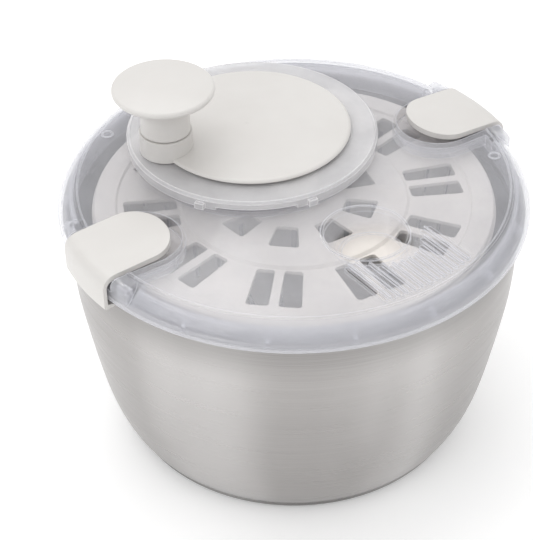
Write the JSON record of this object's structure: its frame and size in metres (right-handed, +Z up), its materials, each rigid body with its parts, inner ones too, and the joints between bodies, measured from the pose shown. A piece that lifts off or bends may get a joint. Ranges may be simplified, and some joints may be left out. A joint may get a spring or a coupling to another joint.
{
  "type": "salad spinner",
  "caption": "Steel bowl with a slotted basket under a clear lid; an off-centre crank knob spins the basket through gears, with two rocking latches and a pouring port.",
  "frame": {"origin": "centre of the bowl's base, on the surface it stands on", "axes": "+Z up along the bowl's axis; the pouring port is towards +X and -Y, the crank towards -X and +Y"},
  "size_m": [0.25, 0.25, 0.2012],
  "materials": {
    "bowl_steel": "brushed round the bowl",
    "white_plastic": "semi-gloss moulded",
    "basket_plastic": "semi-gloss moulded",
    "clear_plastic": "clear, frosted border",
    "gear_plastic": "natural acetal",
    "fastener_steel": "bright drawn steel"
  },
  "bodies": {
    "bowl_and_lid": {"bowl": "bowl_steel", "lid": "clear_plastic", "gear_cover": "clear_plastic", "axle_bush": "gear_plastic", "pinion_bush": "gear_plastic", "latch_left_pin": "fastener_steel", "latch_right_pin": "fastener_steel"},
    "basket_assembly": {"basket": "basket_plastic", "basket_floor": "basket_plastic", "basket_pivot": "basket_plastic", "basket_cover": "basket_plastic", "drive_socket": "gear_plastic"},
    "crank": {"crank_disc": "white_plastic", "drive_gear": "gear_plastic", "hub_washer": "fastener_steel", "hub_screw": "fastener_steel", "knob_spindle": "fastener_steel", "knob_washer": "fastener_steel", "knob_screw": "fastener_steel"},
    "knob": {"knob_grip": "white_plastic", "knob_cap": "white_plastic"},
    "pinion_drive": {"pinion": "gear_plastic", "pinion_screw": "fastener_steel", "drive_dog": "gear_plastic"},
    "left_latch": {"latch_left": "white_plastic", "latch_left_spring": "fastener_steel"},
    "right_latch": {"latch_right": "white_plastic", "latch_right_spring": "fastener_steel"}
  },
  "joints": [
    {"name": "basket_spin", "type": "hinge", "parent": "bowl_and_lid", "child": "basket_assembly", "pos_m": [0, 0, 0.1], "axis": [0, 0, 1], "continuous": true},
    {"name": "crank_spin", "type": "hinge", "parent": "bowl_and_lid", "child": "crank", "pos_m": [-0.02265, 0.03625, 0.16], "axis": [0, 0, 1], "continuous": true},
    {"name": "knob_spin", "type": "hinge", "parent": "crank", "child": "knob", "pos_m": [-0.06766, 0.01565, 0.185], "axis": [0, 0, 1], "continuous": true},
    {"name": "pinion_spin", "type": "hinge", "parent": "bowl_and_lid", "child": "pinion_drive", "pos_m": [0, 0, 0.15], "axis": [0, 0, 1], "continuous": true},
    {"name": "latch_left_press", "type": "hinge", "parent": "bowl_and_lid", "child": "left_latch", "pos_m": [-0.09764, -0.06537, 0.149], "axis": [-0.5563, 0.831, 0], "range_deg": [0, 10], "stiffness_Nm_per_rad": 0.05, "springref_deg": -17.19},
    {"name": "latch_right_press", "type": "hinge", "parent": "bowl_and_lid", "child": "right_latch", "pos_m": [0.09764, 0.06537, 0.149], "axis": [0.5563, -0.831, 0], "range_deg": [0, 10], "stiffness_Nm_per_rad": 0.05, "springref_deg": -17.19}
  ],
  "couplings": [
    {"joint": "crank_spin", "follows": "basket_spin", "ratio": -0.35714},
    {"joint": "pinion_spin", "follows": "basket_spin", "ratio": 1}
  ]
}
